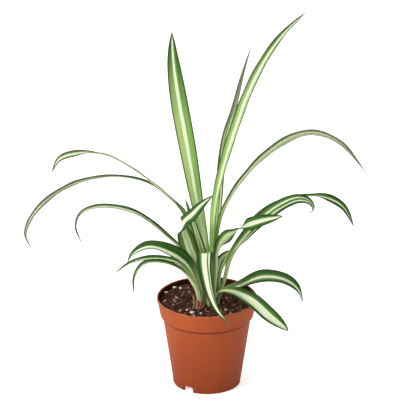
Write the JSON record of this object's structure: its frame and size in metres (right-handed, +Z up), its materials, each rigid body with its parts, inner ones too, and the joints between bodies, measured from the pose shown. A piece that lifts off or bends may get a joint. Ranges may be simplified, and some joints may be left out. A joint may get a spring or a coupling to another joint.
{
  "type": "potted spider plant",
  "caption": "Variegated spider plant with long arching channelled leaves growing from one crown in a round, tapered, terracotta-coloured nursery pot with a deep collar.",
  "frame": {"origin": "on the pot's axis, at the underside of its base, where the pot stands on its flat pad", "axes": "+Z up along the pot's axis, +X to the right and -Y towards the viewer of the picture"},
  "size_m": [0.3466, 0.1188, 0.3794],
  "materials": {
    "pot_plastic": "matt moulded terracotta-coloured plastic",
    "potting_soil": "rough dark potting mix with pale grains",
    "rootstock": "pale, slightly rough plant tissue",
    "dry_leaf": "dry, fibrous and matt",
    "leaf_blade": "smooth waxy leaf, green with a cream stripe, satin gloss"
  },
  "bodies": {
    "root": {"pot": "pot_plastic", "soil": "potting_soil", "crown": "rootstock", "dry_leaf_base": "dry_leaf", "tall_left": "leaf_blade", "tall_right": "leaf_blade", "narrow_behind": "leaf_blade", "right_arch": "leaf_blade", "right_far": "leaf_blade", "right_curl": "leaf_blade", "right_twist": "leaf_blade", "right_back": "leaf_blade", "flag_left": "leaf_blade", "inner_spike": "leaf_blade", "left_high": "leaf_blade", "left_long": "leaf_blade", "left_mid": "leaf_blade", "left_wide": "leaf_blade", "left_low_back": "leaf_blade", "left_low_front": "leaf_blade", "front_fall": "leaf_blade", "right_wide": "leaf_blade", "right_mid": "leaf_blade"}
  },
  "joints": []
}
